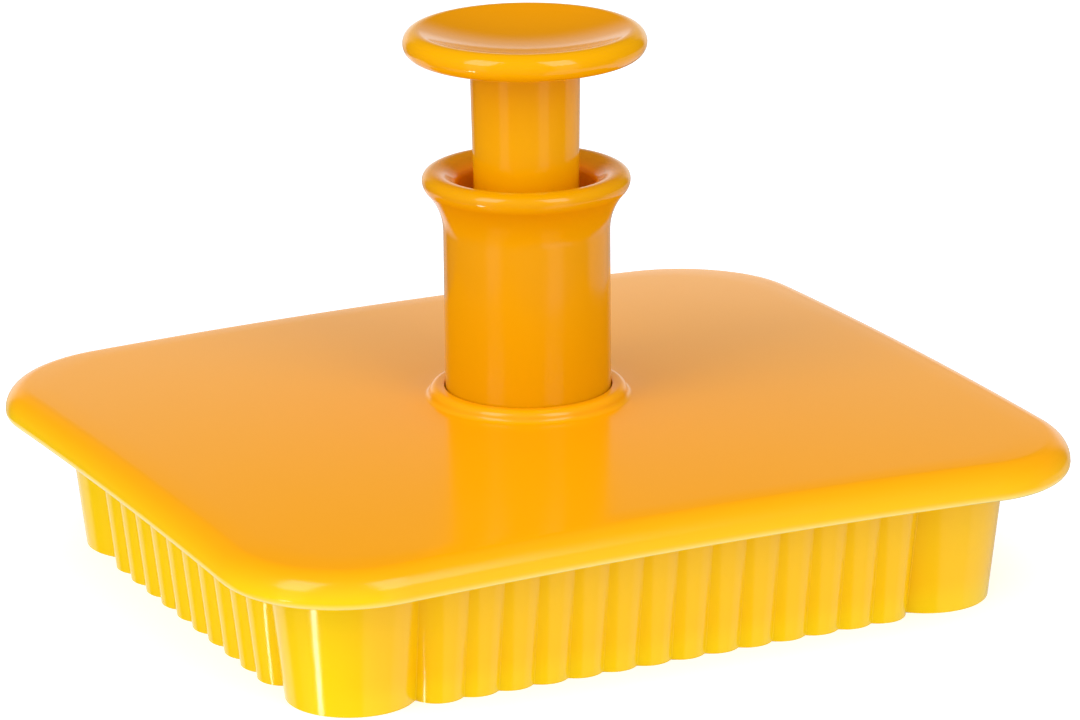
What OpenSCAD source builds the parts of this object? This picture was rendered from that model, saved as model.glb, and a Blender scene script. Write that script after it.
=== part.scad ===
// Spring plunger biscuit cutter in moulded plastic.
// A fluted rectangular cutting wall hangs under a crowned plate, and a knob pushes
// a scalloped stamp down through it to press and release the biscuit.
// Millimetres. The origin is at the centre of the cutting edge, and Z runs up through the knob.

/* [Biscuit] */
// Length of the biscuit over its flutes
biscuit_l = 66; // [60:0.5:74]
// Width of the biscuit over its flutes
biscuit_w = 55.8; // [48:0.1:62]
// Flutes along each long side
long_flutes = 14; // [12:1:18]
// Flutes along each short side
short_flutes = 10; // [8:1:13]
// Radius of each flute at the cutting edge
flute_r = 2.4; // [2.2:0.1:2.8]
// Radius of the round lobe at each corner, at the cutting edge
lobe_r = 5.6; // [5:0.1:6.2]
// How far each row of flutes runs in over the corner lobes
lobe_overlap = 0.85; // [0.5:0.05:1.2]

/* [Cutting wall] */
// Height from the cutting edge to the underside of the plate, at the centre
wall_h = 13.3; // [12:0.1:16]
// Thickness of the wall at the cutting edge
edge_t = 0.6; // [0.4:0.05:0.9]
// Draft angle of the outside of the wall, in degrees
wall_draft = 6.5; // [3:0.5:7]

/* [Plate] */
// How far the plate reaches past the flutes at its ends
end_overhang = 6.5; // [6:0.1:9]
// How far the plate reaches past the flutes along its sides
side_overhang = 7.1; // [6:0.1:9]
// Thickness of the plate
plate_t = 2.8; // [2.4:0.1:3.5]
// Radius of the plate's corners, seen from above
corner_r = 11.6; // [10:0.1:15]
// Radius of the rounded upper edge
top_edge_r = 1.6; // [1:0.1:1.9]
// Radius of the rounded lower edge
low_edge_r = 0.8; // [0.3:0.1:0.9]
// Radius of the plate's gentle crown
crown_r = 820; // [500:10:1500]

/* [Collar and guide] */
// Outer radius of the collar ring that holds the sleeve
collar_r = 8.5; // [8.3:0.05:10]
// Height of the collar ring above the plate
collar_h = 0.95; // [0.7:0.05:1.6]
// Radius of the collar's rounded top edge
collar_edge_r = 0.55; // [0.3:0.05:0.6]
// Radius of the fillet where the collar meets the plate
collar_fillet_r = 0.45; // [0.3:0.05:0.8]
// Thickness of the floor under the sleeve and the spring
floor_t = 1.5; // [1.2:0.1:1.8]
// Outer radius of the short tube that guides the stem
guide_r = 3.6; // [3.3:0.05:3.7]

/* [Sleeve] */
// Outer radius of the sleeve
sleeve_r = 7.3; // [7:0.05:7.6]
// Radius of the bore in the sleeve
bore_r = 6; // [5.7:0.05:6.1]
// Height of the sleeve's straight part above its seat
sleeve_h = 16.5; // [14:0.1:20]
// Radius of the outward flare below the lip
flare_r = 5.5; // [4:0.1:9]
// Outer radius of the lip
mouth_r = 9; // [8.8:0.05:9.4]
// Radius of the roll under the lip
lip_r = 1; // [0.7:0.05:1.2]
// Height of the lip's oval crown above its widest line
lip_h = 1; // [0.6:0.05:1.4]

/* [Plunger] */
// Outer radius of the knob
knob_r = 10.6; // [9.5:0.1:13]
// Radius of the knob's rolled rim
knob_rim_r = 1.2; // [0.9:0.05:1.5]
// Depth of the dished top below the rim
dish_d = 1.5; // [0.8:0.1:2]
// Radius of the rod where it meets the knob
rod_r = 4.8; // [4.5:0.05:5.2]
// Draft angle of the rod, narrower towards the piston, in degrees
rod_draft = 1; // [0.2:0.1:1.2]
// Radius of the fillet under the knob
knob_fillet_r = 0.8; // [0.4:0.1:2]
// Thickness of the piston ring that runs in the sleeve
piston_t = 2; // [1.4:0.1:2.4]
// Radius of the stem below the piston
stem_r = 2.6; // [2.4:0.05:2.8]
// Radius of the spigot that is staked through the stamp
spigot_r = 2; // [1.6:0.05:2.2]

/* [Stamp] */
// Thickness of the stamp
stamp_t = 2.4; // [2:0.1:2.8]
// Length of the docking pins
pin_l = 1.2; // [0.8:0.1:1.6]
// Radius of a docking pin at its root
pin_root_r = 0.9; // [0.6:0.05:1.1]
// Radius of a docking pin at its tip
pin_tip_r = 0.4; // [0.3:0.05:0.5]
// Columns of docking pins
pin_columns = 6; // [4:2:6]
// Rows of docking pins
pin_rows = 4; // [2:2:4]
// Distance between columns of pins
pin_step_l = 9; // [8:0.1:9.5]
// Distance between rows of pins
pin_step_w = 10.5; // [8:0.1:11.5]

/* [Spring] */
// Diameter of the spring wire
wire_d = 0.7; // [0.5:0.05:0.7]
// Mean radius of the coils
coil_r = 4.6; // [4.5:0.05:4.8]
// Turns, with one closed turn at each end
turns = 5.5; // [4.5:0.5:5.5]
// Height of the spring with the knob up
spring_h = 13.2; // [12.8:0.1:13.4]

/* [Clearances] */
// Gap between the sleeve and its pocket
seat_clear = 0.06; // [0.02:0.01:0.1]
// Running gap of the piston in the sleeve
piston_clear = 0.07; // [0.05:0.01:0.1]
// Running gap of the stem in its guide
stem_clear = 0.05; // [0.03:0.01:0.1]
// Gap round the staked spigot
spigot_clear = 0.05; // [0.02:0.01:0.08]
// Gap between the stamp and the cutting wall
stamp_clear = 0.4; // [0.3:0.05:0.6]
// Gap above the raised stamp, and above the raised spring
rest_gap = 0.05; // [0.02:0.01:0.1]
// Gap between the piston and the guide with the knob pushed down
stop_gap = 0.1; // [0.05:0.01:0.2]
// Height of the pin tips above the cutting edge with the knob pushed down
tip_gap = 0.35; // [0.2:0.05:1]
// Gap between the knob and the lip with the knob pushed down
knob_gap = 1.3; // [0.8:0.1:3]

/* [Hidden] */
$fn = 64;
arc_steps = 8;       // facets in a quarter of a turned profile
plate_arc_steps = 9; // facets in each corner of the plate
plate_side_steps = 5; // facets along each straight side of the plate
coil_steps = 24;     // rings of the spring in one turn
wire_sides = 8;      // sides of the spring wire
embed = 0.3;         // how far a joined form runs into its neighbour
cut = 1;             // how far a cut runs past the solid
ceiling_drop = 0.3;  // the flat ceiling lies below the plate's crowned underside
chamfer = 0.3;       // chamfers of the piston

// Rows of flutes and corner lobes
flute_x = biscuit_l/2 - flute_r;
flute_y = biscuit_w/2 - flute_r;
lobe_x = biscuit_l/2 - lobe_r;
lobe_y = biscuit_w/2 - lobe_r;
long_pitch = 2*(lobe_x - lobe_r + lobe_overlap)/long_flutes;
short_pitch = 2*(lobe_y - lobe_r + lobe_overlap)/short_flutes;

// Heights
ceiling_z = wall_h - ceiling_drop;
plate_z = wall_h + plate_t;
collar_z = plate_z + collar_h;
floor_z = ceiling_z + floor_t;
flare_z = floor_z + sleeve_h;
stamp_z = ceiling_z - rest_gap - stamp_t;
travel = stamp_z - pin_l - tip_gap;
piston_z = floor_z + spring_h + rest_gap;
guide_z = piston_z - travel - stop_gap;

// Lip of the sleeve: a roll that touches the flare, under an oval crown from the bore outwards
lip_x = mouth_r - lip_r;
lip_z = flare_z + sqrt(pow(flare_r + lip_r, 2) - pow(sleeve_r + flare_r - lip_x, 2));
sleeve_top = lip_z + lip_h;

// Knob: a rolled rim round a shallow dish
knob_z = sleeve_top + travel + knob_gap;
rim_x = knob_r - knob_rim_r;
rim_z = knob_z + knob_rim_r;
dish_z = rim_z + knob_rim_r - dish_d;
dish_r = (pow(rim_x, 2) + pow(dish_d - knob_rim_r, 2) - pow(knob_rim_r, 2))/(2*dish_d);
dish_a = asin(rim_x/(dish_r + knob_rim_r));

plate_l = biscuit_l + 2*end_overhang;
plate_w = biscuit_w + 2*side_overhang;

function arc(x, y, r, a0, a1, n = arc_steps) =
    [for (i = [0:n]) let (a = a0 + (a1 - a0)*i/n) [x + r*cos(a), y + r*sin(a)]];

// One level ring of the plate, drawn in from its outline and dropped by the crown
function plate_ring(inset, z) =
    let (r = max(corner_r - inset, low_edge_r),
         hx = plate_l/2 - inset - r,
         hy = plate_w/2 - inset - r,
         centre = [[hx, hy], [-hx, hy], [-hx, -hy], [hx, -hy]])
    [for (q = [0:3]) each concat(
        [for (i = [0:plate_arc_steps]) let (a = 90*(q + i/plate_arc_steps))
            crowned(centre[q] + r*[cos(a), sin(a)], z)],
        [for (i = [1:plate_side_steps - 1]) let (t = i/plate_side_steps, a = 90*(q + 1))
            crowned((1 - t)*centre[q] + t*centre[(q + 1) % 4] + r*[cos(a), sin(a)], z)])];

function crowned(p, z) = [p[0], p[1], z - (p[0]*p[0] + p[1]*p[1])/(2*crown_r)];

// Insets and heights of the rings, from the middle of the underside out and over to the top
plate_profile = concat(
    [for (inset = [24, 16, 8]) [inset, wall_h]],
    [for (i = [0:3]) let (a = 90*i/3)
        [low_edge_r*(1 - sin(a)), wall_h + low_edge_r*(1 - cos(a))]],
    [for (i = [0:6]) let (a = 90*i/6)
        [top_edge_r*(1 - cos(a)), plate_z - top_edge_r*(1 - sin(a))]],
    [for (inset = [8, 16, 24]) [inset, plate_z]]);

// A closed skin over a list of rings, with a point at each end
function skin_faces(rings, n) = concat(
    [for (i = [0:n - 1]) [rings*n, i, (i + 1) % n]],
    [for (j = [0:rings - 2], i = [0:n - 1]) each let (a = j*n + i, b = j*n + (i + 1) % n)
        [[a, a + n, b + n], [a, b + n, b]]],
    [for (i = [0:n - 1]) [rings*n + 1, (rings - 1)*n + (i + 1) % n, (rings - 1)*n + i]]);

module plate() {
    n = 4*(plate_arc_steps + plate_side_steps);
    points = [for (p = plate_profile) each plate_ring(p[0], p[1])];
    polyhedron(points = concat(points, [[0, 0, wall_h], [0, 0, plate_z]]),
               faces = skin_faces(len(plate_profile), n), convexity = 4);
}

// Places its children at the centre of every flute
module at_flutes() {
    for (side = [-1, 1]) {
        for (i = [0:long_flutes - 1])
            translate([(i - (long_flutes - 1)/2)*long_pitch, side*flute_y, 0]) children();
        for (i = [0:short_flutes - 1])
            translate([side*flute_x, (i - (short_flutes - 1)/2)*short_pitch, 0]) children();
    }
}

// Places its children at the centre of every corner lobe
module at_lobes() {
    for (sx = [-1, 1], sy = [-1, 1]) translate([sx*lobe_x, sy*lobe_y, 0]) children();
}

// The inside of the rows of flutes: two crossed rectangles
module core() {
    square([2*flute_x, 2*lobe_y], center = true);
    square([2*lobe_x, 2*flute_y], center = true);
}

// The biscuit's outline, drawn in by a distance
module biscuit_outline(inset) {
    core();
    at_flutes() circle(r = flute_r - inset);
    at_lobes() circle(r = lobe_r - inset);
}

// The fluted block before it is hollowed: every flute and lobe widens upwards
module wall_block() {
    h = wall_h + embed;
    spread = h*tan(wall_draft);
    linear_extrude(height = h) core();
    at_flutes() cylinder(h = h, r1 = flute_r, r2 = flute_r + spread);
    at_lobes() cylinder(h = h, r1 = lobe_r, r2 = lobe_r + spread);
}

module collar() {
    fillet_x = collar_r + collar_fillet_r;
    base_z = crowned([fillet_x, 0], plate_z)[2];
    fillet_a = min(90, acos(max(0, 1 - (collar_z - collar_edge_r - base_z)/collar_fillet_r)));
    rotate_extrude() polygon(concat(
        [[0, plate_z - plate_t/2], [fillet_x, plate_z - plate_t/2]],
        [for (i = [0:arc_steps]) let (a = fillet_a*i/arc_steps)
            [fillet_x - collar_fillet_r*sin(a), base_z + collar_fillet_r*(1 - cos(a))]],
        arc(collar_r - collar_edge_r, collar_z - collar_edge_r, collar_edge_r, 0, 90),
        [[0, collar_z]]));
}

module cutter_body() {
    color("orange") difference() {
        union() {
            difference() {
                union() {
                    plate();
                    wall_block();
                    collar();
                }
                translate([0, 0, floor_z]) cylinder(h = collar_z, r = sleeve_r + seat_clear);
            }
            translate([0, 0, floor_z - embed]) cylinder(h = guide_z - floor_z + embed, r = guide_r);
        }
        translate([0, 0, -cut]) linear_extrude(height = ceiling_z + cut) biscuit_outline(edge_t);
        cylinder(h = guide_z + cut, r = stem_r + stem_clear);
    }
}

module guide_sleeve() {
    flare_a = acos((sleeve_r + flare_r - lip_x)/(flare_r + lip_r));
    crown_x = (mouth_r + bore_r)/2;
    color("darkorange") rotate_extrude() polygon(concat(
        [[bore_r, floor_z], [sleeve_r, floor_z]],
        arc(sleeve_r + flare_r, flare_z, flare_r, 180, 180 - flare_a),
        arc(lip_x, lip_z, lip_r, -flare_a, 0),
        [for (i = [1:2*arc_steps]) let (a = 90*i/arc_steps)
            [crown_x + (mouth_r - crown_x)*cos(a), lip_z + lip_h*sin(a)]]));
}

// Centre line of the spring after a number of turns, with a closed turn at each end
function coil_point(t) =
    let (closed = wire_d*1.15,
         active = (spring_h - wire_d - 2*closed)/(turns - 2),
         z = closed*min(t, 1) + active*min(max(t - 1, 0), turns - 2) + closed*max(t - turns + 1, 0))
    [coil_r*cos(360*t), coil_r*sin(360*t), floor_z + wire_d/2 + z];

module return_spring() {
    last = round(turns*coil_steps);
    points = [for (j = [0:last]) let (t = j/coil_steps, c = coil_point(t)) each
        [for (i = [0:wire_sides - 1]) let (a = 360*i/wire_sides, r = wire_d/2)
            c + r*[cos(a)*cos(360*t), cos(a)*sin(360*t), -sin(a)]]];
    color("silver") polyhedron(
        points = concat(points, [coil_point(0), coil_point(last/coil_steps)]),
        faces = skin_faces(last + 1, wire_sides), convexity = 10);
}

module plunger() {
    rod_low_r = rod_r - (knob_z - piston_z - piston_t)*tan(rod_draft);
    piston_r = bore_r - piston_clear;
    shoulder_z = stamp_z + stamp_t;
    color("gold") rotate_extrude() polygon(concat(
        [[0, stamp_z], [spigot_r, stamp_z], [spigot_r, shoulder_z], [stem_r, shoulder_z],
         [stem_r, piston_z], [piston_r - chamfer, piston_z], [piston_r, piston_z + chamfer],
         [piston_r, piston_z + piston_t - chamfer], [piston_r - chamfer, piston_z + piston_t],
         [rod_low_r, piston_z + piston_t]],
        arc(rod_r + knob_fillet_r, knob_z - knob_fillet_r, knob_fillet_r, 180, 90),
        arc(rim_x, rim_z, knob_rim_r, -90, 90 + dish_a, 2*arc_steps),
        arc(0, dish_z + dish_r, dish_r, -90 + dish_a, -90)));
}

module stamp_plate() {
    color("khaki") difference() {
        union() {
            translate([0, 0, stamp_z]) linear_extrude(height = stamp_t)
                biscuit_outline(edge_t + stamp_clear);
            for (i = [0:pin_columns - 1], j = [0:pin_rows - 1])
                translate([(i - (pin_columns - 1)/2)*pin_step_l, (j - (pin_rows - 1)/2)*pin_step_w,
                           stamp_z - pin_l])
                    cylinder(h = pin_l + embed, r1 = pin_tip_r, r2 = pin_root_r, $fn = 24);
        }
        translate([0, 0, stamp_z - cut])
            cylinder(h = stamp_t + 2*cut, r = spigot_r + spigot_clear);
    }
}

cutter_body();
guide_sleeve();
return_spring();
plunger();
stamp_plate();
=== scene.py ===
# Spring plunger biscuit cutter in golden, polished plastic
import math
import bpy
from mathutils import Matrix, Vector


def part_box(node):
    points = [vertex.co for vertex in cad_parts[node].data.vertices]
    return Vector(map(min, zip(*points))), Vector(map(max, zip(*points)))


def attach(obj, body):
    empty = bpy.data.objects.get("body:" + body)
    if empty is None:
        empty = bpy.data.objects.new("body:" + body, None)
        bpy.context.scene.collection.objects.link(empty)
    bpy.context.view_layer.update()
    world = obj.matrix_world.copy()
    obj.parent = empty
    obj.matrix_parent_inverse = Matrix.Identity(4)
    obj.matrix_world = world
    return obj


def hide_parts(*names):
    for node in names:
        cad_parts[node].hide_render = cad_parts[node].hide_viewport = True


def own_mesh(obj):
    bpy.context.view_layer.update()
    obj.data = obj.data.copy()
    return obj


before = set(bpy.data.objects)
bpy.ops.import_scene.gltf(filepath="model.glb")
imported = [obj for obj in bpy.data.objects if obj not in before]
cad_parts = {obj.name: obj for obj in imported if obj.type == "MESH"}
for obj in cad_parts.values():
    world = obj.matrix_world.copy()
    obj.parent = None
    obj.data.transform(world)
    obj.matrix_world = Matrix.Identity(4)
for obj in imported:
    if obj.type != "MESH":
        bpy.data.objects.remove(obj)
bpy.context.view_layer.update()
mm = 0.001
print("frame loaded:", ", ".join(sorted(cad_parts)))


# Helpers for placing
def direction(azimuth, elevation):
    # towards a place around the object, in degrees, azimuth 0 on the -Y side
    az, el = math.radians(azimuth), math.radians(elevation)
    return Vector((math.sin(az) * math.cos(el), -math.cos(az) * math.cos(el), math.sin(el)))


def addObject(name, data):
    made = bpy.data.objects.new(name, data)
    bpy.context.scene.collection.objects.link(made)
    return made


# Camera
# The view is from the front left, a little above the plate.
cameraView = {
    "azimuth": -25.93,    # degrees, 0 looks along +Y
    "elevation": 17.16,
    "roll": -0.55,
    "distance": 478.8 * mm,
    "aimHeight": 19.1 * mm,
    "aimSideways": 1.05 * mm,
    "lens": 181.6,
    "sensor": 36,         # its width, in the same units as the lens
    "nearest": 10 * mm,   # anything closer isn't drawn
}


def makeCamera(view):
    az, roll = math.radians(view["azimuth"]), math.radians(view["roll"])
    back = direction(view["azimuth"], view["elevation"])
    level = Vector((math.cos(az), math.sin(az), 0))
    upright = back.cross(level)
    right = math.cos(roll) * level + math.sin(roll) * upright
    up = math.cos(roll) * upright - math.sin(roll) * level
    aim = Vector((0, 0, view["aimHeight"])) + view["aimSideways"] * right
    data = bpy.data.cameras.new("camera")
    data.lens = view["lens"]
    data.sensor_width = view["sensor"]
    data.clip_start = view["nearest"]
    camera = addObject("camera", data)
    turn = Matrix((right, up, back)).transposed().to_4x4()
    camera.matrix_world = Matrix.Translation(aim + view["distance"] * back) @ turn
    bpy.context.scene.camera = camera


makeCamera(cameraView)
print("camera placed")


# Helpers for meshes
def meshPiece(name, points, faces, material, sharpAngle=30):
    mesh = bpy.data.meshes.new(name)
    mesh.from_pydata([tuple(p) for p in points], [], faces)
    mesh.validate()
    return finishMesh(name, mesh, material, sharpAngle)


def finishMesh(name, mesh, material, sharpAngle):
    mesh.shade_smooth()
    mesh.set_sharp_from_angle(angle=math.radians(sharpAngle))
    mesh.materials.clear()
    mesh.materials.append(material)
    return addObject(name, mesh)


def skinFaces(rings, count):
    # quads between neighbouring rings of the same number of points, the last ring to the first
    faces = []
    for j in range(rings):
        a, b = j * count, ((j + 1) % rings) * count
        for i in range(count):
            k = (i + 1) % count
            faces.append((a + i, a + k, b + k, b + i))
    return faces


def arcPoints(x, y, r, start, end, steps):
    # angles in degrees
    angles = (math.radians(start + (end - start) * i / steps) for i in range(steps + 1))
    return [(x + r * math.cos(a), y + r * math.sin(a)) for a in angles]


def shares(steps, first=1):
    # equal steps from 0 to 1, without the 0 unless first is 0
    return [k / steps for k in range(first, steps + 1)]


def quarterTurn(steps, first=1):
    # equal steps of a quarter circle, in radians
    return [math.radians(90 * k / steps) for k in range(first, steps + 1)]


# Helpers for materials
def newMaterial(name):
    material = bpy.data.materials.new(name)
    material.use_nodes = True
    return material, material.node_tree.nodes, material.node_tree.links


def socketGroup(name, inputs, outputs):
    group = bpy.data.node_groups.new(name, "ShaderNodeTree")
    for label, kind, value in inputs:
        socket = group.interface.new_socket(label, in_out="INPUT", socket_type=kind)
        socket.default_value = value
    for label, kind in outputs:
        group.interface.new_socket(label, in_out="OUTPUT", socket_type=kind)
    start = group.nodes.new("NodeGroupInput")
    end = group.nodes.new("NodeGroupOutput")
    return group, start, end


def noise(nodes, links, position, scale, detail):
    node = nodes.new("ShaderNodeTexNoise")
    node.inputs["Scale"].default_value = scale
    node.inputs["Detail"].default_value = detail
    links.new(position, node.inputs["Vector"])
    return node.outputs["Fac"]


def maths(nodes, links, operation, a, b=None, c=None):
    node = nodes.new("ShaderNodeMath")
    node.operation = operation
    for k, value in enumerate((a, b, c)):
        if value is None:
            continue
        if isinstance(value, (int, float)):
            node.inputs[k].default_value = value
        else:
            links.new(value, node.inputs[k])
    return node.outputs[0]


def smoothRamp(nodes, links, value, low, high):
    # 0 below the low value and 1 above the high one, or the reverse where low is larger
    node = nodes.new("ShaderNodeMapRange")
    node.interpolation_type = "SMOOTHSTEP"
    node.inputs["From Min"].default_value = min(low, high)
    node.inputs["From Max"].default_value = max(low, high)
    node.inputs["To Min"].default_value = 0 if high > low else 1
    node.inputs["To Max"].default_value = 1 if high > low else 0
    links.new(value, node.inputs["Value"])
    return node.outputs["Result"]


def blendColours(nodes, links, share, a, b):
    mix = nodes.new("ShaderNodeMix")
    mix.data_type = "RGBA"
    links.new(share, mix.inputs["Factor"])
    links.new(a, mix.inputs["A"])
    links.new(b, mix.inputs["B"])
    return mix.outputs["Result"]


def placeParts(nodes, links):
    # from the object coordinates: x, z and the distance from the Z axis
    parts = nodes.new("ShaderNodeSeparateXYZ")
    links.new(nodes.new("ShaderNodeTexCoord").outputs["Object"], parts.inputs[0])
    x, y, z = (parts.outputs[k] for k in "XYZ")
    square = maths(nodes, links, "MULTIPLY_ADD", x, x, maths(nodes, links, "MULTIPLY", y, y))
    return x, z, maths(nodes, links, "SQRT", square)


# Moulded plastic
def makeMouldedSkin():
    # colour flow, handling haze and the faint waviness of moulded plastic
    group, start, end = socketGroup(
        "mouldedSkin",
        [("Colour", "NodeSocketColor", (1, 0.5, 0, 1)),
         ("Deep Colour", "NodeSocketColor", (0.9, 0.3, 0, 1)),
         ("Roughness", "NodeSocketFloat", 0.12),
         ("Haze", "NodeSocketFloat", 0.08)],
        [("Colour", "NodeSocketColor"), ("Roughness", "NodeSocketFloat"),
         ("Height", "NodeSocketFloat")])
    nodes, links, given = group.nodes, group.links, start.outputs
    flowShare, grainShare = 0.5, 0.05
    place = nodes.new("ShaderNodeTexCoord").outputs["Object"]
    flow = noise(nodes, links, place, scale=45, detail=3)
    tint = blendColours(nodes, links, maths(nodes, links, "MULTIPLY", flow, flowShare),
                        given["Colour"], given["Deep Colour"])
    links.new(tint, end.inputs["Colour"])
    smear = noise(nodes, links, place, scale=130, detail=4)
    patch = maths(nodes, links, "MULTIPLY", smear, given["Haze"])
    links.new(maths(nodes, links, "ADD", given["Roughness"], patch), end.inputs["Roughness"])
    wave = noise(nodes, links, place, scale=160, detail=1)
    grain = noise(nodes, links, place, scale=2600, detail=2)
    links.new(maths(nodes, links, "MULTIPLY_ADD", grain, grainShare, wave),
              end.inputs["Height"])
    return group


# where the painted light on the thin places of the cutter body begins and is complete
paintedWallLightZones = {
    "side": (16.1 * mm, 13.2 * mm),     # heights, down the edge of the plate
    # painted highlight along the lowest part of the plate's edge
    "rim": (13.95 * mm, 13.2 * mm),     # heights, the lowest part of that edge
    "thin": (13.12 * mm, 12.8 * mm),    # heights, from the plate to the wall
    "end": (-27 * mm, -32 * mm),        # along X, the end near the light
    "edge": (3.4 * mm, 0.2 * mm),       # heights, down to the cutting edge
}


def makePaintedWallLight(zones):
    # painted light: thin walls and the plate's side are painted paler than the plate for the
    # light that passes through them, most of all at the end near the light and along the cutting
    # edge;
    # the lowest part of the plate's edge gets a painted highlight
    group, start, out = socketGroup(
        "paintedWallLight",
        [("Crown", "NodeSocketFloat", 0),
         ("Colour", "NodeSocketColor", (1, 0.4, 0, 1)),
         ("Painted Side Light", "NodeSocketColor", (1, 0.5, 0, 1)),
         ("Painted Rim Highlight", "NodeSocketColor", (1, 0.7, 0.1, 1)),
         ("Painted Wall Light", "NodeSocketColor", (1, 0.5, 0, 1)),
         ("Painted End Light", "NodeSocketColor", (1, 0.6, 0, 1)),
         ("Painted Edge Light", "NodeSocketColor", (1, 0.7, 0, 1))],
        [("Colour", "NodeSocketColor")])
    nodes, links, given = group.nodes, group.links, start.outputs
    x, z, radius = placeParts(nodes, links)
    fall = maths(nodes, links, "MULTIPLY", radius, radius)
    level = maths(nodes, links, "MULTIPLY_ADD", fall, given["Crown"], z)
    side, rim, thin, end, edge = (
        smoothRamp(nodes, links, value, *zones[label])
        for label, value in (("side", level), ("rim", level), ("thin", level),
                             ("end", x), ("edge", z)))
    # painted light through the walls, strongest at the end near the light and along the cutting
    # edge
    wall = blendColours(nodes, links, end, given["Painted Wall Light"], given["Painted End Light"])
    wall = blendColours(nodes, links, edge, wall, given["Painted Edge Light"])
    # painted light on the plate's side, also strongest at the end near the light
    tone = blendColours(nodes, links, end, given["Painted Side Light"], given["Painted End Light"])
    plate = blendColours(nodes, links, side, given["Colour"], tone)
    # painted highlight along the lowest part of the plate's edge
    plate = blendColours(nodes, links, rim, plate, given["Painted Rim Highlight"])
    links.new(blendColours(nodes, links, thin, plate, wall), out.inputs["Colour"])
    return group


def makePaintedHollowShade():
    # painted shade: hollows near the axis, above a foot and inside a radius, are painted a deeper
    # colour for the shade and bounced light in them
    group, start, end = socketGroup(
        "paintedHollowShade",
        [("Colour", "NodeSocketColor", (1, 0.4, 0, 1)),
         ("Deep Colour", "NodeSocketColor", (1, 0.3, 0, 1)),
         ("Foot", "NodeSocketFloat", 0), ("Radius", "NodeSocketFloat", 0.01)],
        [("Colour", "NodeSocketColor")])
    nodes, links, given = group.nodes, group.links, start.outputs
    _, z, radius = placeParts(nodes, links)
    softFoot, softRim = 0.3 * mm, 0.5 * mm
    above = maths(nodes, links, "SUBTRACT", z, given["Foot"])
    inside = maths(nodes, links, "SUBTRACT", given["Radius"], radius)
    share = maths(nodes, links, "MULTIPLY",
                  smoothRamp(nodes, links, above, -softFoot, softFoot),
                  smoothRamp(nodes, links, inside, -softRim, softRim))
    links.new(blendColours(nodes, links, share, given["Colour"], given["Deep Colour"]),
              end.inputs["Colour"])
    return group


mouldedSkin = makeMouldedSkin()
paintedHollowShade = makePaintedHollowShade()
skinBump = {"strength": 0.2, "height": 0.02 * mm}


def plastic(name, colour, deep, roughness, haze, lightPaintGroup=None, lightPaintValues=None):
    # colours are linear, and a light paint group paints light or shade into some places
    material, nodes, links = newMaterial(name)
    shader = nodes["Principled BSDF"]
    shader.inputs["IOR"].default_value = 1.5
    skin = nodes.new("ShaderNodeGroup")
    skin.node_tree = mouldedSkin
    skin.inputs["Colour"].default_value = (*colour, 1)
    skin.inputs["Deep Colour"].default_value = (*deep, 1)
    skin.inputs["Roughness"].default_value = roughness
    skin.inputs["Haze"].default_value = haze
    tint = skin.outputs["Colour"]
    if lightPaintGroup:
        tinted = nodes.new("ShaderNodeGroup")
        tinted.node_tree = lightPaintGroup
        links.new(tint, tinted.inputs["Colour"])
        for label, value in lightPaintValues.items():
            tinted.inputs[label].default_value = value
        tint = tinted.outputs["Colour"]
    links.new(tint, shader.inputs["Base Color"])
    links.new(skin.outputs["Roughness"], shader.inputs["Roughness"])
    bump = nodes.new("ShaderNodeBump")
    bump.inputs["Strength"].default_value = skinBump["strength"]
    bump.inputs["Distance"].default_value = skinBump["height"]
    links.new(skin.outputs["Height"], bump.inputs["Height"])
    links.new(bump.outputs["Normal"], shader.inputs["Normal"])
    return material


golden, deepGolden = (1.0, 0.41, 0.0), (0.98, 0.385, 0.0)
print("plastic made")


# Cutter body
cutterBody = {
    "longFlutes": 14,
    "shortFlutes": 10,
    "fluteRadius": 2.4 * mm,
    "lobeRadius": 5.6 * mm,
    "lobeOverlap": 0.85 * mm,
    "endOverhang": 6.5 * mm,
    "sideOverhang": 7.1 * mm,
    "wallHeight": 13.1 * mm,
    "ceiling": 13 * mm,
    "edgeThickness": 0.6 * mm,
    "edgeSoftening": 0.06 * mm,
    "draft": 6.5,             # degrees
    "cuspRadius": 0.08 * mm,  # fillet in the valleys between the flutes
    "ridgeRadius": 0.4 * mm,  # rounding of the ridges inside the wall
    "rootRadius": 0.4 * mm,   # fillet between the wall and the plate
    "plateThickness": 3 * mm,
    "cornerRadius": 11.6 * mm,
    "topEdge": 2.1 * mm,      # rounding of the plate's edge, less than the corner radius
    "lowEdge": 0.85 * mm,
    "crownRadius": 820 * mm,
    "collarRadius": 8.7 * mm,
    "collarHeight": 0.95 * mm,
    "collarEdge": 0.7 * mm,
    "collarFillet": 0.5 * mm,
    "pocketFloor": 14.5 * mm,
    "pocketRadius": 7.37 * mm,
    "pocketEdge": 0.15 * mm,  # rounding of the pocket's and the guide tube's edges
    "guideRadius": 3.6 * mm,
    "guideBore": 2.65 * mm,
    "guideTop": 18.65 * mm,
}
# into how many steps each stretch is divided
outlineSteps = {"flute": 10, "lobe": 36, "cusp": 3}
cutterSteps = {"wall": 12, "root": 4, "underside": 5, "lowEdge": 6, "topEdge": 10, "top": 12,
               "collar": 10, "pocketEdge": 4, "ceiling": 5, "inside": 3}
# painted light: paler colours for light through the thin walls and edges, and a painted highlight
# along the plate's lowest edge
goldenPlastic = plastic(
    "goldenPlastic", golden, deepGolden, roughness=0.14, haze=0.06,
    lightPaintGroup=makePaintedWallLight(paintedWallLightZones), lightPaintValues={
        "Crown": 0.5 / cutterBody["crownRadius"],
        "Painted Side Light": (1.0, 0.57, 0.008, 1),
        "Painted Rim Highlight": (1.0, 0.8, 0.17, 1),
        "Painted Wall Light": (1.0, 0.59, 0.002, 1),
        "Painted End Light": (1.0, 0.67, 0.002, 1),
        "Painted Edge Light": (1.0, 0.68, 0.004, 1)})


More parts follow.
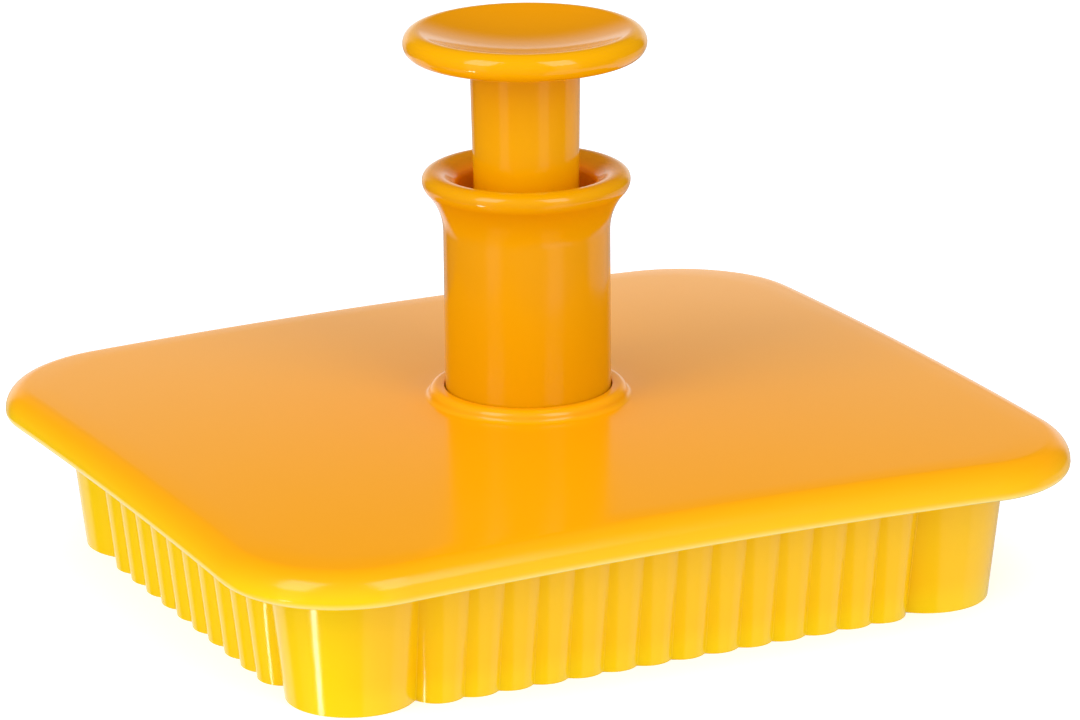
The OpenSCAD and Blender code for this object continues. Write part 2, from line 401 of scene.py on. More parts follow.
def fluteCircles(c):
    # centres of the flutes and lobes, once round, with their radii at the cutting edge
    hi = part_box("cutter_body")[1]
    halfX, halfY = hi.x - c["endOverhang"], hi.y - c["sideOverhang"]
    lobe, flute = c["lobeRadius"], c["fluteRadius"]
    runX = halfX - 2 * lobe + c["lobeOverlap"]
    runY = halfY - 2 * lobe + c["lobeOverlap"]
    circles = []
    for turn in range(4):
        long = turn % 2 == 0
        count = c["longFlutes"] if long else c["shortFlutes"]
        run, side, corner = (runX, halfY, halfX) if long else (runY, halfX, halfY)
        spin = Matrix.Rotation(turn * math.pi / 2, 2)
        for i in range(count):
            along = run * (2 * i + 1 - count) / count
            circles.append((spin @ Vector((along, -(side - flute))), flute))
        circles.append((spin @ Vector((corner - lobe, -(side - lobe))), lobe))
    return circles


def flutedOutline(circles, grow, fillet):
    # arcs of every circle, with a small hollow fillet in each valley
    n = outlineSteps
    count = len(circles)
    smallest = min(radius for _, radius in circles)
    joints = []
    for i in range(count):
        (a, ra), (b, rb) = circles[i], circles[(i + 1) % count]
        ra, rb = ra + grow + fillet, rb + grow + fillet
        across = b - a
        d = across.length
        along = (d * d + ra * ra - rb * rb) / (2 * d)
        out = math.sqrt(ra * ra - along * along)
        u = across / d
        joints.append(a + u * along + Vector((u.y, -u.x)) * out)
    points = []
    for i in range(count):
        centre, radius = circles[i]
        steps = n["lobe"] if radius > smallest else n["flute"]
        before, after = joints[i - 1] - centre, joints[i] - centre
        start = math.atan2(before.y, before.x)
        end = math.atan2(after.y, after.x)
        if end < start:
            end += 2 * math.pi
        for k in range(steps + 1):
            a = start + (end - start) * k / steps
            points.append(centre + (radius + grow) * Vector((math.cos(a), math.sin(a))))
        middle = joints[i]
        nextCentre = circles[(i + 1) % count][0]
        start = math.atan2(centre.y - middle.y, centre.x - middle.x)
        end = math.atan2(nextCentre.y - middle.y, nextCentre.x - middle.x)
        if end > start:
            end -= 2 * math.pi
        for k in range(1, n["cusp"]):
            a = start + (end - start) * k / n["cusp"]
            points.append(middle + fillet * Vector((math.cos(a), math.sin(a))))
    return points


def plateStations(c, outline, halfX, halfY):
    # where each point of the wall looks out to the plate's edge: (corner centre, direction)
    r = c["cornerRadius"]
    cx, cy = halfX - r, halfY - r
    lobeX = halfX - c["endOverhang"] - c["lobeRadius"]
    lobeY = halfY - c["sideOverhang"] - c["lobeRadius"]
    stations = []
    for p in outline:
        sx, sy = math.copysign(1, p.x), math.copysign(1, p.y)
        x, y = abs(p.x), abs(p.y)
        if x <= lobeX and y > lobeY:
            stations.append((Vector((sx * x * cx / lobeX, sy * cy)), Vector((0, sy))))
        elif y <= lobeY and x > lobeX:
            stations.append((Vector((sx * cx, sy * y * cy / lobeY)), Vector((sx, 0))))
        else:
            away = Vector((x - lobeX, y - lobeY)).normalized()
            stations.append((Vector((sx * cx, sy * cy)), Vector((sx * away.x, sy * away.y))))
    return stations


def buildCutterBody(c, n):
    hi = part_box("cutter_body")[1]
    circles = fluteCircles(c)
    crown = lambda p: (p.x * p.x + p.y * p.y) / (2 * c["crownRadius"])
    slope = math.tan(math.radians(c["draft"]))
    under, top = c["wallHeight"], c["wallHeight"] + c["plateThickness"]
    edge, soften = c["edgeThickness"], c["edgeSoftening"]
    cusp, root = c["cuspRadius"], c["rootRadius"]
    rings = []

    def level(points, z):
        rings.append([(p.x, p.y, z) for p in points])

    def domed(points, z):
        rings.append([(p.x, p.y, z - crown(p)) for p in points])

    # outside of the wall, from the cutting edge up to the fillet under the plate
    level(flutedOutline(circles, -soften, cusp), 0)
    base, tall, probe = (flutedOutline(circles, slope * height, cusp)
                         for height in (soften, under - root, under))
    for share in shares(n["wall"], first=0):
        ring = []
        for low, high, at in zip(base, tall, probe):
            z = soften + (under - crown(at) - root - soften) * share
            q = low.lerp(high, (z - soften) / (under - root - soften))
            ring.append((q.x, q.y, z))
        rings.append(ring)
    for a in quarterTurn(n["root"]):
        grow = slope * (under - root) + root * (1 - math.cos(a))
        domed(flutedOutline(circles, grow, cusp), under - root * (1 - math.sin(a)))
    footing = flutedOutline(circles, slope * (under - root) + root, cusp)
    stations = plateStations(c, footing, hi.x, hi.y)

    def plateRing(inset):
        # the plate's outline drawn in by an inset
        return [centre + away * (c["cornerRadius"] - inset) for centre, away in stations]

    # underside and the rounded edge of the plate
    low, high = c["lowEdge"], c["topEdge"]
    rim = plateRing(low)
    for share in shares(n["underside"])[:-1]:
        domed([a.lerp(b, share) for a, b in zip(footing, rim)], under)
    for a in quarterTurn(n["lowEdge"], first=0):
        domed(plateRing(low * (1 - math.sin(a))), under + low * (1 - math.cos(a)))
    for a in quarterTurn(n["topEdge"], first=0):
        domed(plateRing(high * (1 - math.cos(a))), top - high * (1 - math.sin(a)))

    # top of the plate, running in to the foot of the collar
    edgeRing = plateRing(high)
    foot = c["collarRadius"] + c["collarFillet"]
    angles = [math.atan2(p.y, p.x) for p in edgeRing]
    circle = [Vector((math.cos(a), math.sin(a))) for a in angles]
    for share in shares(n["top"]):
        domed([p.lerp(q * foot, share) for p, q in zip(edgeRing, circle)], top)

    # collar, pocket, guide tube and bore, all turned about the middle
    collarTop = top + c["collarHeight"]
    f, e, lip = c["collarFillet"], c["collarEdge"], c["pocketEdge"]
    footZ = top - foot * foot / (2 * c["crownRadius"])
    bend = math.degrees(math.acos(1 - (collarTop - footZ) / (f + e)))
    turned = arcPoints(foot, footZ + f, f, -90, -90 - bend, n["collar"])[1:]
    flat = foot - (f + e) * math.sin(math.radians(bend))
    turned += arcPoints(flat, collarTop - e, e, 90 - bend, 90, n["collar"])[1:]
    turned += arcPoints(c["pocketRadius"] + lip, collarTop - lip, lip, 90, 180, n["pocketEdge"])
    turned += [(c["pocketRadius"], c["pocketFloor"]), (c["guideRadius"], c["pocketFloor"]),
               (c["guideRadius"], c["guideTop"] - lip), (c["guideRadius"] - lip, c["guideTop"]),
               (c["guideBore"] + lip, c["guideTop"]), (c["guideBore"], c["guideTop"] - lip),
               (c["guideBore"], c["ceiling"])]
    for r, z in turned:
        rings.append([(q.x * r, q.y * r, z) for q in circle])

    # ceiling and inside of the wall, down to the land of the cutting edge
    ridge, insideTop = c["ridgeRadius"], c["ceiling"] - root
    inner = flutedOutline(circles, -edge, ridge)
    corner = flutedOutline(circles, -edge - root, ridge + root)
    for share in shares(n["ceiling"]):
        level([(q * c["guideBore"]).lerp(p, share) for p, q in zip(corner, circle)], c["ceiling"])
    for a in quarterTurn(n["inside"]):
        level([p.lerp(q, math.sin(a)) for p, q in zip(corner, inner)],
              c["ceiling"] - root * (1 - math.cos(a)))
    for share in shares(n["inside"]):
        level(inner, insideTop * (1 - share) + soften * share)
    level(flutedOutline(circles, soften - edge, ridge), 0)

    points = [p for ring in rings for p in ring]
    return meshPiece("cutterBody", points, skinFaces(len(rings), len(circle)),
                     goldenPlastic, sharpAngle=40)


body = buildCutterBody(cutterBody, cutterSteps)
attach(body, "cutter")
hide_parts("cutter_body")
print("cutter body built:", len(body.data.polygons), "faces")


# Turned parts
def nodeTree(name, inputs):
    tree = bpy.data.node_groups.new(name, "GeometryNodeTree")
    tree.interface.new_socket("Geometry", in_out="INPUT", socket_type="NodeSocketGeometry")
    sockets = {}
    for label, kind, value in inputs:
        socket = tree.interface.new_socket(label, in_out="INPUT", socket_type=kind)
        if value is not None:
            socket.default_value = value
        sockets[label] = socket.identifier
    tree.interface.new_socket("Geometry", in_out="OUTPUT", socket_type="NodeSocketGeometry")
    start = tree.nodes.new("NodeGroupInput")
    end = tree.nodes.new("NodeGroupOutput")
    return tree, start.outputs, end.inputs["Geometry"], sockets


def geometryNode(tree, kind, settings=None, **inputs):
    # i0, i1 and i2 are inputs by their place, any other is by its name
    node = tree.nodes.new(kind)
    for key, value in (settings or {}).items():
        setattr(node, key, value)
    for key, value in inputs.items():
        socket = node.inputs[int(key[1:])] if key[0] == "i" and key[1:].isdigit() \
            else node.inputs[key.replace("_", " ")]
        if isinstance(value, bpy.types.NodeSocket):
            tree.links.new(value, socket)
        else:
            socket.default_value = value
    return node


def nodeMath(tree, operation, a, b=None, c=None):
    values = {f"i{k}": v for k, v in enumerate((a, b, c)) if v is not None}
    return geometryNode(tree, "ShaderNodeMath", {"operation": operation}, **values).outputs[0]


def finishTree(tree, geometry, start, end):
    # instances made real, shaded smooth and given their material
    real = geometryNode(tree, "GeometryNodeRealizeInstances", Geometry=geometry)
    smooth = geometryNode(tree, "GeometryNodeSetShadeSmooth", Geometry=real.outputs[0])
    dressed = geometryNode(tree, "GeometryNodeSetMaterial", Geometry=smooth.outputs[0],
                           Material=start["Material"])
    tree.links.new(dressed.outputs[0], end)


def bakedPiece(name, mesh, tree, sockets, values, material, sharpAngle):
    # runs the tree on a mesh and keeps the result as a plain mesh
    source = addObject(name + "Source", mesh)
    modifier = source.modifiers.new("nodes", "NODES")
    modifier.node_group = tree
    for label, value in values.items():
        modifier[sockets[label]] = value
    modifier[sockets["Material"]] = material
    graph = bpy.context.evaluated_depsgraph_get()
    made = bpy.data.meshes.new_from_object(source.evaluated_get(graph))
    source.modifiers.remove(modifier)
    bpy.data.objects.remove(source)
    made.name = name
    return finishMesh(name, made, material, sharpAngle)


def makeLatheTree():
    # turns a profile of points (radius, 0, height) about the Z axis
    tree, start, end, sockets = nodeTree("lathe", [
        ("Profile Points", "NodeSocketInt", 10),
        ("Segments", "NodeSocketInt", 128),
        ("Material", "NodeSocketMaterial", None)])
    around = nodeMath(tree, "ADD", start["Segments"], 1)
    grid = geometryNode(tree, "GeometryNodeMeshGrid", Size_X=1.0, Size_Y=1.0,
                        Vertices_X=start["Profile Points"], Vertices_Y=around)
    uv = geometryNode(tree, "ShaderNodeSeparateXYZ", Vector=grid.outputs["UV Map"])
    last = nodeMath(tree, "SUBTRACT", start["Profile Points"], 1)
    index = nodeMath(tree, "ROUND", nodeMath(tree, "MULTIPLY", uv.outputs["X"], last))
    # the turn goes backwards, so that the faces look outwards
    angle = nodeMath(tree, "MULTIPLY", uv.outputs["Y"], -2 * math.pi)
    place = geometryNode(tree, "GeometryNodeInputPosition")
    profile = geometryNode(tree, "GeometryNodeSampleIndex",
                           {"data_type": "FLOAT_VECTOR", "domain": "POINT"},
                           Geometry=start["Geometry"], Value=place.outputs[0], Index=index)
    point = geometryNode(tree, "ShaderNodeSeparateXYZ", Vector=profile.outputs[0])
    x = nodeMath(tree, "MULTIPLY", point.outputs["X"], nodeMath(tree, "COSINE", angle))
    y = nodeMath(tree, "MULTIPLY", point.outputs["X"], nodeMath(tree, "SINE", angle))
    turned = geometryNode(tree, "ShaderNodeCombineXYZ", X=x, Y=y, Z=point.outputs["Z"])
    moved = geometryNode(tree, "GeometryNodeSetPosition", Geometry=grid.outputs["Mesh"],
                         Position=turned.outputs[0])
    weldWithin = 0.001 * mm
    welded = geometryNode(tree, "GeometryNodeMergeByDistance", Geometry=moved.outputs[0],
                          Distance=weldWithin)
    finishTree(tree, welded.outputs[0], start, end)
    return tree, sockets


latheTree, latheSockets = makeLatheTree()


def turnedPiece(name, profile, material, segments, sharpAngle=30):
    mesh = bpy.data.meshes.new(name + "Profile")
    mesh.from_pydata([(r, 0, z) for r, z in profile], [], [])
    return bakedPiece(name, mesh, latheTree, latheSockets,
                      {"Profile Points": len(profile), "Segments": segments},
                      material, sharpAngle)


# Guide sleeve
guideSleeve = {
    "radius": 7.3 * mm,
    "bore": 6 * mm,
    "straight": 16.5 * mm,
    "flareRadius": 5.5 * mm,
    "mouthRadius": 9.1 * mm,
    "lipRadius": 1.4 * mm,    # roll under the lip
    "lipHeight": 0.85 * mm,   # crown above its widest line
    "crownWidth": 1 * mm,     # from the widest line in to the top of the crown
    "crownRadius": 2 * mm,    # from the top of the crown into the funnel
    "funnelSlope": 35,        # degrees
    "boreEdge": 0.8 * mm,     # rounding from the funnel into the bore
    "footEdge": 0.2 * mm,     # rounding of the outer edge at the foot
}
sleevePlastic = plastic(
    "sleevePlastic", (0.79, 0.35, 0.0), (0.76, 0.33, 0.0), roughness=0.12, haze=0.05,
    # painted shade in the bore
    lightPaintGroup=paintedHollowShade, lightPaintValues={
        "Deep Colour": (1.0, 0.36, 0.0, 1), "Foot": 0.0, "Radius": 6.5 * mm})


def buildGuideSleeve(s):
    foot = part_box("guide_sleeve")[0].z
    flareZ = foot + s["straight"]
    flare, lip, mouth, bore = s["flareRadius"], s["lipRadius"], s["mouthRadius"], s["bore"]
    reach = s["radius"] + flare - (mouth - lip)
    lipZ = flareZ + math.sqrt((flare + lip) ** 2 - reach ** 2)
    bend = math.degrees(math.acos(reach / (flare + lip)))
    c = s["footEdge"]
    profile = [(bore, foot), (s["radius"] - c, foot)]
    profile += arcPoints(s["radius"] - c, foot + c, c, -90, 0, steps=4)[1:]
    profile += arcPoints(s["radius"] + flare, flareZ, flare, 180, 180 - bend, steps=20)
    profile += arcPoints(mouth - lip, lipZ, lip, -bend, 0, steps=14)[1:]
    top, crest = lipZ + s["lipHeight"], mouth - s["crownWidth"]
    profile += [(crest + s["crownWidth"] * math.cos(a), lipZ + s["lipHeight"] * math.sin(a))
                for a in quarterTurn(steps=14)[:-1]]
    slope, crown, edge = s["funnelSlope"], s["crownRadius"], s["boreEdge"]
    turn = math.radians(slope)
    cone = crest - bore - edge - (crown - edge) * math.sin(turn)
    edgeZ = top - crown + (crown - edge) * math.cos(turn) - cone * math.tan(turn)
    profile += arcPoints(crest, top - crown, crown, 90, 90 + slope, steps=10)
    profile += arcPoints(bore + edge, edgeZ, edge, 90 + slope, 180, steps=10)
    profile.append((bore, foot))
    return turnedPiece("guideSleeve", profile, sleevePlastic, segments=144)


sleeve = buildGuideSleeve(guideSleeve)
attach(sleeve, "cutter")
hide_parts("guide_sleeve")
print("guide sleeve built")


# Plunger
plungerPart = {
    "rimRadius": 1.2 * mm,
    "dishDepth": 1.5 * mm,
    "rodRadius": 4.8 * mm,
    "rodDraft": 1,            # degrees
    "knobFillet": 0.8 * mm,
    "pistonRadius": 5.93 * mm,
    "pistonHeight": 27.75 * mm,
    "pistonThickness": 2 * mm,
    "stemRadius": 2.6 * mm,
    "spigotRadius": 2 * mm,
    "chamfer": 0.3 * mm,
}
plungerPlastic = plastic(
    "plungerPlastic", (0.87, 0.395, 0.0), (0.84, 0.37, 0.0), roughness=0.08, haze=0.05,
    # painted shade on the knob near the axis
    lightPaintGroup=paintedHollowShade, lightPaintValues={
        "Deep Colour": (0.81, 0.31, 0.0, 1), "Foot": 47.1 * mm, "Radius": 9.4 * mm})


def buildPlunger(p):
    lo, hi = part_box("plunger")
    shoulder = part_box("stamp_plate")[1].z
    rim, dish = p["rimRadius"], p["dishDepth"]
    rimX, rimZ = hi.x - rim, hi.z - rim
    under = rimZ - rim
    dishRadius = (rimX ** 2 + (dish - rim) ** 2 - rim ** 2) / (2 * dish)
    dishAngle = math.degrees(math.asin(rimX / (dishRadius + rim)))
    low, high = p["pistonHeight"], p["pistonHeight"] + p["pistonThickness"]
    rodLow = p["rodRadius"] - (under - high) * math.tan(math.radians(p["rodDraft"]))
    c, fillet = p["chamfer"], p["knobFillet"]
    profile = [(0, lo.z), (p["spigotRadius"] - c, lo.z), (p["spigotRadius"], lo.z + c),
               (p["spigotRadius"], shoulder), (p["stemRadius"], shoulder),
               (p["stemRadius"], low), (p["pistonRadius"] - c, low),
               (p["pistonRadius"], low + c), (p["pistonRadius"], high - c),
               (p["pistonRadius"] - c, high), (rodLow, high)]
    profile += arcPoints(p["rodRadius"] + fillet, under - fillet, fillet, 180, 90, steps=10)
    profile += arcPoints(rimX, rimZ, rim, -90, 90 + dishAngle, steps=36)
    profile += arcPoints(0, hi.z - dish + dishRadius, dishRadius, -90 + dishAngle, -90,
                         steps=24)[1:]
    return turnedPiece("pushPlunger", profile, plungerPlastic, segments=160)


plunger = buildPlunger(plungerPart)
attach(plunger, "plunger")
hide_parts("plunger")
print("plunger built")


# Return spring
returnSpring = {
    "wire": 0.7 * mm,
    "coilRadius": 4.6 * mm,
    "turns": 5.5,
    "closedPitch": 0.805 * mm,
    "stepsPerTurn": 64,
    "wireSides": 16,
    "compressed": 0.32,   # height with the knob down, as a share of the height at rest
}


def makeSpringWire():
    material, nodes, links = newMaterial("springWire")
    shader = nodes["Principled BSDF"]
    shader.inputs["Metallic"].default_value = 1
    place = nodes.new("ShaderNodeTexCoord").outputs["Object"]
    ramp = nodes.new("ShaderNodeValToRGB")
    ramp.color_ramp.elements[0].color = (0.42, 0.42, 0.43, 1)
    ramp.color_ramp.elements[1].color = (0.62, 0.62, 0.63, 1)
    links.new(noise(nodes, links, place, scale=900, detail=3), ramp.inputs["Fac"])
    links.new(ramp.outputs["Color"], shader.inputs["Base Color"])
    drawn = noise(nodes, links, place, scale=3000, detail=2)
    spread, smoothest = 0.2, 0.18
    links.new(maths(nodes, links, "MULTIPLY_ADD", drawn, spread, smoothest),
              shader.inputs["Roughness"])
    return material


def makeCoilTree():
    # a helix whose first and last turns lie closed, swept with a round wire
    tree, start, end, sockets = nodeTree("coil", [
        ("Turns", "NodeSocketFloat", 5.5),
        ("Coil Radius", "NodeSocketFloat", 0.005),
        ("Wire Radius", "NodeSocketFloat", 0.0003),
        ("Closed Pitch", "NodeSocketFloat", 0.001),
        ("Active Pitch", "NodeSocketFloat", 0.002),
        ("Foot", "NodeSocketFloat", 0.0),
        ("Points", "NodeSocketInt", 300),
        ("Wire Sides", "NodeSocketInt", 12),
        ("Material", "NodeSocketMaterial", None)])
    line = geometryNode(tree, "GeometryNodeMeshLine", Count=start["Points"])
    curve = geometryNode(tree, "GeometryNodeMeshToCurve", Mesh=line.outputs[0])
    index = geometryNode(tree, "GeometryNodeInputIndex").outputs[0]
    last = nodeMath(tree, "SUBTRACT", start["Points"], 1)
    turn = nodeMath(tree, "MULTIPLY", nodeMath(tree, "DIVIDE", index, last), start["Turns"])
    angle = nodeMath(tree, "MULTIPLY", turn, 2 * math.pi)
    x = nodeMath(tree, "MULTIPLY", start["Coil Radius"], nodeMath(tree, "COSINE", angle))
    y = nodeMath(tree, "MULTIPLY", start["Coil Radius"], nodeMath(tree, "SINE", angle))
    active = nodeMath(tree, "SUBTRACT", start["Turns"], 2)
    first = nodeMath(tree, "MINIMUM", turn, 1)
    middle = nodeMath(tree, "MINIMUM",
                      nodeMath(tree, "MAXIMUM", nodeMath(tree, "SUBTRACT", turn, 1), 0), active)
    closing = nodeMath(tree, "SUBTRACT", nodeMath(tree, "SUBTRACT", turn, first), middle)
    closed = nodeMath(tree, "MULTIPLY", nodeMath(tree, "ADD", first, closing),
                      start["Closed Pitch"])
    z = nodeMath(tree, "ADD", start["Foot"],
                 nodeMath(tree, "MULTIPLY_ADD", middle, start["Active Pitch"], closed))
    place = geometryNode(tree, "ShaderNodeCombineXYZ", X=x, Y=y, Z=z)
    bent = geometryNode(tree, "GeometryNodeSetPosition", Geometry=curve.outputs[0],
                        Position=place.outputs[0])
    wire = geometryNode(tree, "GeometryNodeCurvePrimitiveCircle",
                        Resolution=start["Wire Sides"], Radius=start["Wire Radius"])
    swept = geometryNode(tree, "GeometryNodeCurveToMesh", Curve=bent.outputs[0],
                         Profile_Curve=wire.outputs[0], Fill_Caps=True)
    finishTree(tree, swept.outputs[0], start, end)
    return tree, sockets


def buildReturnSpring(s):
    lo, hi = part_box("return_spring")
    tree, sockets = makeCoilTree()
    rise = hi.z - lo.z - s["wire"] - 2 * s["closedPitch"]
    mesh = bpy.data.meshes.new("springSeed")
    return bakedPiece("returnSpring", mesh, tree, sockets, {
        "Turns": s["turns"],
        "Coil Radius": s["coilRadius"],
        "Wire Radius": s["wire"] / 2,
        "Closed Pitch": s["closedPitch"],
        "Active Pitch": rise / (s["turns"] - 2),
        "Foot": lo.z + s["wire"] / 2,
        "Points": round(s["turns"] * s["stepsPerTurn"]) + 1,
        "Wire Sides": s["wireSides"],
    }, makeSpringWire(), sharpAngle=50)


spring = buildReturnSpring(returnSpring)
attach(spring, "cutter")
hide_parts("return_spring")
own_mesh(spring)
print("return spring wound")


# Stamp
stampPlate = {
    "thickness": 2.4 * mm,
    "gap": 0.4 * mm,          # to the inside of the cutting wall
    "bevel": 0.25 * mm,
    "scallopFillet": 0.7 * mm,
    "hole": 2.05 * mm,
    "pinColumns": 6,
    "pinRows": 4,
    "columnStep": 9 * mm,
    "rowStep": 10.5 * mm,
    "pinLength": 1.2 * mm,
    "pinTip": 0.4 * mm,
    "tipEdge": 0.15 * mm,
    "pinRoot": 0.9 * mm,
    "pinFillet": 0.2 * mm,
    "pinEase": 0.02 * mm,     # how far the pin is drawn in at its fillet, twice that below it
    "pinSunk": 0.1 * mm,      # how deep the root goes into the plate
}
stampPlastic = plastic("stampPlastic", golden, deepGolden, roughness=0.14, haze=0.06)


def makePinGridTree():
    # one docking pin, copied to every crossing of a grid that leaves the middle free
    tree, start, end, sockets = nodeTree("pinGrid", [
        ("Columns", "NodeSocketInt", 6),
        ("Rows", "NodeSocketInt", 4),
        ("Column Step", "NodeSocketFloat", 0.009),
        ("Row Step", "NodeSocketFloat", 0.01),
        ("Material", "NodeSocketMaterial", None)])
    sizes = []
    for count, step in (("Columns", "Column Step"), ("Rows", "Row Step")):
        gaps = nodeMath(tree, "SUBTRACT", start[count], 1)
        sizes.append(nodeMath(tree, "MULTIPLY", gaps, start[step]))
    grid = geometryNode(tree, "GeometryNodeMeshGrid", Size_X=sizes[0], Size_Y=sizes[1],
                        Vertices_X=start["Columns"], Vertices_Y=start["Rows"])
    pins = geometryNode(tree, "GeometryNodeInstanceOnPoints", Points=grid.outputs["Mesh"],
                        Instance=start["Geometry"])
    finishTree(tree, pins.outputs[0], start, end)
    return tree, sockets


def pinMesh(s, face):
    # a turned pin with a rounded tip and a small fillet at its root
    fillet, ease, edge, root = s["pinFillet"], s["pinEase"], s["tipEdge"], s["pinRoot"]
    low, sunk = face - s["pinLength"], face + s["pinSunk"]
    profile = [(0, low)] + arcPoints(s["pinTip"] - edge, low + edge, edge, -80, -10, steps=4)
    profile.append((root - 2 * ease, face - fillet))
    profile += [(root + fillet * (1 - math.cos(a)) - ease, face - fillet * (1 - math.sin(a)))
                for a in quarterTurn(steps=3)]
    profile += [(root + fillet, sunk), (0, sunk)]
    pin = turnedPiece("dockingPin", profile, stampPlastic, segments=24, sharpAngle=60)
    mesh = pin.data.copy()
    bpy.data.objects.remove(pin)
    return mesh


def buildStamp(s, c):
    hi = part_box("stamp_plate")[1]
    face, top = hi.z - s["thickness"], hi.z
    circles = fluteCircles(c)
    inset, bevel = c["edgeThickness"] + s["gap"], s["bevel"]
    hollow, hole = s["scallopFillet"], s["hole"]
    outline = lambda more: flutedOutline(circles, -inset - more, hollow + more)
    whole, edge = outline(0), outline(bevel)
    around = [Vector((p.x, p.y)).normalized() for p in whole]
    rings = [[(q.x * hole, q.y * hole, top) for q in around],
             [(q.x * hole, q.y * hole, face) for q in around]]
    for share in shares(steps=6):
        rings.append([(*(q * hole).lerp(p, share), face) for p, q in zip(edge, around)])
    for a in quarterTurn(steps=3):
        ring = outline(bevel * (1 - math.sin(a)))
        rings.append([(p.x, p.y, face + bevel * (1 - math.cos(a))) for p in ring])
    rings.append([(p.x, p.y, top - bevel) for p in whole])
    rings.append([(p.x, p.y, top) for p in edge])
    for share in shares(steps=6)[:-1]:
        rings.append([(*p.lerp(q * hole, share), top) for p, q in zip(edge, around)])
    points = [p for ring in rings for p in ring]
    plate = meshPiece("stampPlate", points, skinFaces(len(rings), len(whole)), stampPlastic)
    tree, sockets = makePinGridTree()
    pins = bakedPiece("dockingPins", pinMesh(s, face), tree, sockets, {
        "Columns": s["pinColumns"],
        "Rows": s["pinRows"],
        "Column Step": s["columnStep"],
        "Row Step": s["rowStep"],
    }, stampPlastic, sharpAngle=60)
    return plate, pins


stamp, pins = buildStamp(stampPlate, cutterBody)
for piece in (stamp, pins):
    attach(piece, "plunger")
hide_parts("stamp_plate")
print("stamp built")


# Floor, light and background
# Azimuths are degrees from the -Y side, as for the camera.
studio = {
    "floorSize": 6,
    "floorGrey": 0.86,
    "floorLift": 0.5,         # light that only the camera sees on the floor
    "topFill": 0.63,          # soft light from every side
    "frontFill": 0.64,        # more of it from the front left
    "frontAzimuth": -50,
    "boxes": [(-73, 0.4, 2.15), (11, 0.38, 1.95)],    # azimuth, width and power
    "boxHeight": 0.6,
    "boxElevation": 40,
    "boxDistance": 0.9,       # from the point that the boxes face
    "boxAim": 20 * mm,        # height of that point
    "mirroredRest": 0.03,     # what the gloss mirrors outside the panels
    # what it mirrors in them: azimuth, half width, low and high edge in elevation,
    # softness, strength
    "panels": [
        (155, 30, -10, 20, 7, 0.5),
        (155, 32, -24, 10, 4, 0.45),
        (189, 31, -58, -20, 3, 0.85),
        (90, 44, -58, -24, 5, 0.9),
        (95, 26, -24, -8, 4, 0.5),
        (20, 24, -58, -22, 4, 0.6),
        (14, 11, -26, 30, 4, 0.4),
        (-73, 10, -26, 30, 4, 0.4),
        (-104, 14, -58, -29, 4, 0.3),
        (-81, 3.5, -34, -29, 1, 22),
        (0, 200, -110, -56, 7, 1.0),
    ],
}


def makeFloor(s):
    half = s["floorSize"] / 2
    corners = [(-half, -half, 0), (half, -half, 0), (half, half, 0), (-half, half, 0)]
    mesh = bpy.data.meshes.new("floor")
    mesh.from_pydata(corners, [], [(0, 1, 2, 3)])
    material, nodes, links = newMaterial("paleFloor")
    nodes.remove(nodes["Principled BSDF"])
    path = nodes.new("ShaderNodeLightPath").outputs
    matt = nodes.new("ShaderNodeBsdfDiffuse")
    matt.inputs["Color"].default_value = (*[s["floorGrey"]] * 3, 1)
    glow = nodes.new("ShaderNodeEmission")
    links.new(maths(nodes, links, "MULTIPLY", path["Is Camera Ray"], s["floorLift"]),
              glow.inputs["Strength"])
    both = nodes.new("ShaderNodeAddShader")
    links.new(matt.outputs[0], both.inputs[0])
    links.new(glow.outputs[0], both.inputs[1])
    # gloss looks through the floor to the panels around the table
    clear = nodes.new("ShaderNodeBsdfTransparent")
    mix = nodes.new("ShaderNodeMixShader")
    links.new(path["Is Glossy Ray"], mix.inputs["Fac"])
    links.new(both.outputs[0], mix.inputs[1])
    links.new(clear.outputs[0], mix.inputs[2])
    links.new(mix.outputs[0], nodes["Material Output"].inputs["Surface"])
    mesh.materials.append(material)
    addObject("floor", mesh)


def softbox(s, azimuth, width, power):
    away = direction(azimuth, s["boxElevation"])
    data = bpy.data.lights.new("softbox", "AREA")
    data.shape = "RECTANGLE"
    data.size, data.size_y = width, s["boxHeight"]
    data.energy = power
    lamp = addObject("softbox", data)
    place = away * s["boxDistance"] + Vector((0, 0, s["boxAim"]))
    lamp.matrix_world = Matrix.Translation(place) \
        @ away.to_track_quat("Z", "Y").to_matrix().to_4x4()


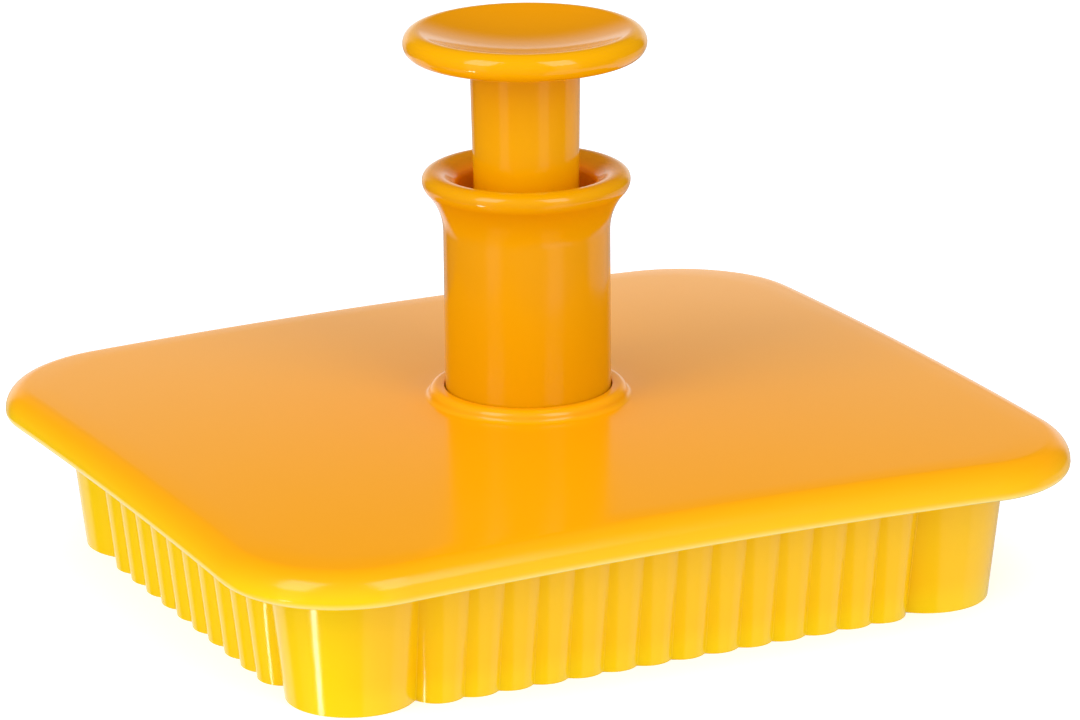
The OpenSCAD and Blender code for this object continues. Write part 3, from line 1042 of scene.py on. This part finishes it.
def makePanel():
    # one soft-edged panel of the surroundings, given by directions
    group, start, end = socketGroup(
        "studioPanel",
        [("Azimuth", "NodeSocketFloat", 0), ("Elevation", "NodeSocketFloat", 0),
         ("Middle", "NodeSocketFloat", 0), ("Half Width", "NodeSocketFloat", 10),
         ("Low", "NodeSocketFloat", -20), ("High", "NodeSocketFloat", 20),
         ("Softness", "NodeSocketFloat", 5), ("Strength", "NodeSocketFloat", 1)],
        [("Strength", "NodeSocketFloat")])
    nodes, links, given = group.nodes, group.links, start.outputs
    calc = lambda operation, *values: maths(nodes, links, operation, *values)
    turn = calc("WRAP", calc("SUBTRACT", given["Azimuth"], given["Middle"]), 180, -180)

    def within(distance, reach):
        # 1 well inside the reach, fading to 0 over the softness at its edge
        node = nodes.new("ShaderNodeMapRange")
        node.interpolation_type = "SMOOTHSTEP"
        links.new(distance, node.inputs["Value"])
        links.new(calc("SUBTRACT", reach, given["Softness"]), node.inputs["From Min"])
        links.new(calc("ADD", reach, given["Softness"]), node.inputs["From Max"])
        node.inputs["To Min"].default_value = 1
        node.inputs["To Max"].default_value = 0
        return node.outputs["Result"]

    across = within(calc("ABSOLUTE", turn), given["Half Width"])
    middle = calc("MULTIPLY", calc("ADD", given["Low"], given["High"]), 0.5)
    reach = calc("MULTIPLY", calc("SUBTRACT", given["High"], given["Low"]), 0.5)
    upright = within(calc("ABSOLUTE", calc("SUBTRACT", given["Elevation"], middle)), reach)
    links.new(calc("MULTIPLY", calc("MULTIPLY", across, upright), given["Strength"]),
              end.inputs["Strength"])
    return group


def makeWorld(s):
    # plain white for the camera, the panels for gloss, and soft fill for all the rest
    world = bpy.data.worlds.new("whiteTent")
    world.use_nodes = True
    nodes, links = world.node_tree.nodes, world.node_tree.links
    calc = lambda operation, *values: maths(nodes, links, operation, *values)
    way = nodes.new("ShaderNodeSeparateXYZ")
    links.new(nodes.new("ShaderNodeTexCoord").outputs["Generated"], way.inputs[0])
    x, y, z = (way.outputs[k] for k in "XYZ")
    azimuth = calc("DEGREES", calc("ARCTAN2", x, calc("MULTIPLY", y, -1)))
    elevation = calc("DEGREES", calc("ARCSINE", z))
    panel = makePanel()
    mirrored = s["mirroredRest"]
    for numbers in s["panels"]:
        node = nodes.new("ShaderNodeGroup")
        node.node_tree = panel
        links.new(azimuth, node.inputs["Azimuth"])
        links.new(elevation, node.inputs["Elevation"])
        for label, value in zip(("Middle", "Half Width", "Low", "High", "Softness", "Strength"),
                                numbers):
            node.inputs[label].default_value = value
        mirrored = calc("ADD", node.outputs[0], mirrored)
    front = direction(s["frontAzimuth"], 0)
    facing = calc("MULTIPLY_ADD", x, front.x, calc("MULTIPLY", y, front.y))
    fill = calc("MULTIPLY_ADD", calc("MAXIMUM", facing, 0), s["frontFill"], s["topFill"])
    path = nodes.new("ShaderNodeLightPath").outputs
    blend = lambda a, b, share: calc("MULTIPLY_ADD", calc("SUBTRACT", b, a), share, a)
    unseen = blend(fill, mirrored, path["Is Glossy Ray"])
    links.new(blend(unseen, 1.0, path["Is Camera Ray"]), nodes["Background"].inputs["Strength"])
    nodes["Background"].inputs["Color"].default_value = (1, 1, 1, 1)
    bpy.context.scene.world = world


makeFloor(studio)
makeWorld(studio)
for azimuth, width, power in studio["boxes"]:
    softbox(studio, azimuth, width, power)
bpy.context.scene.view_settings.view_transform = "Standard"
print("studio lit")
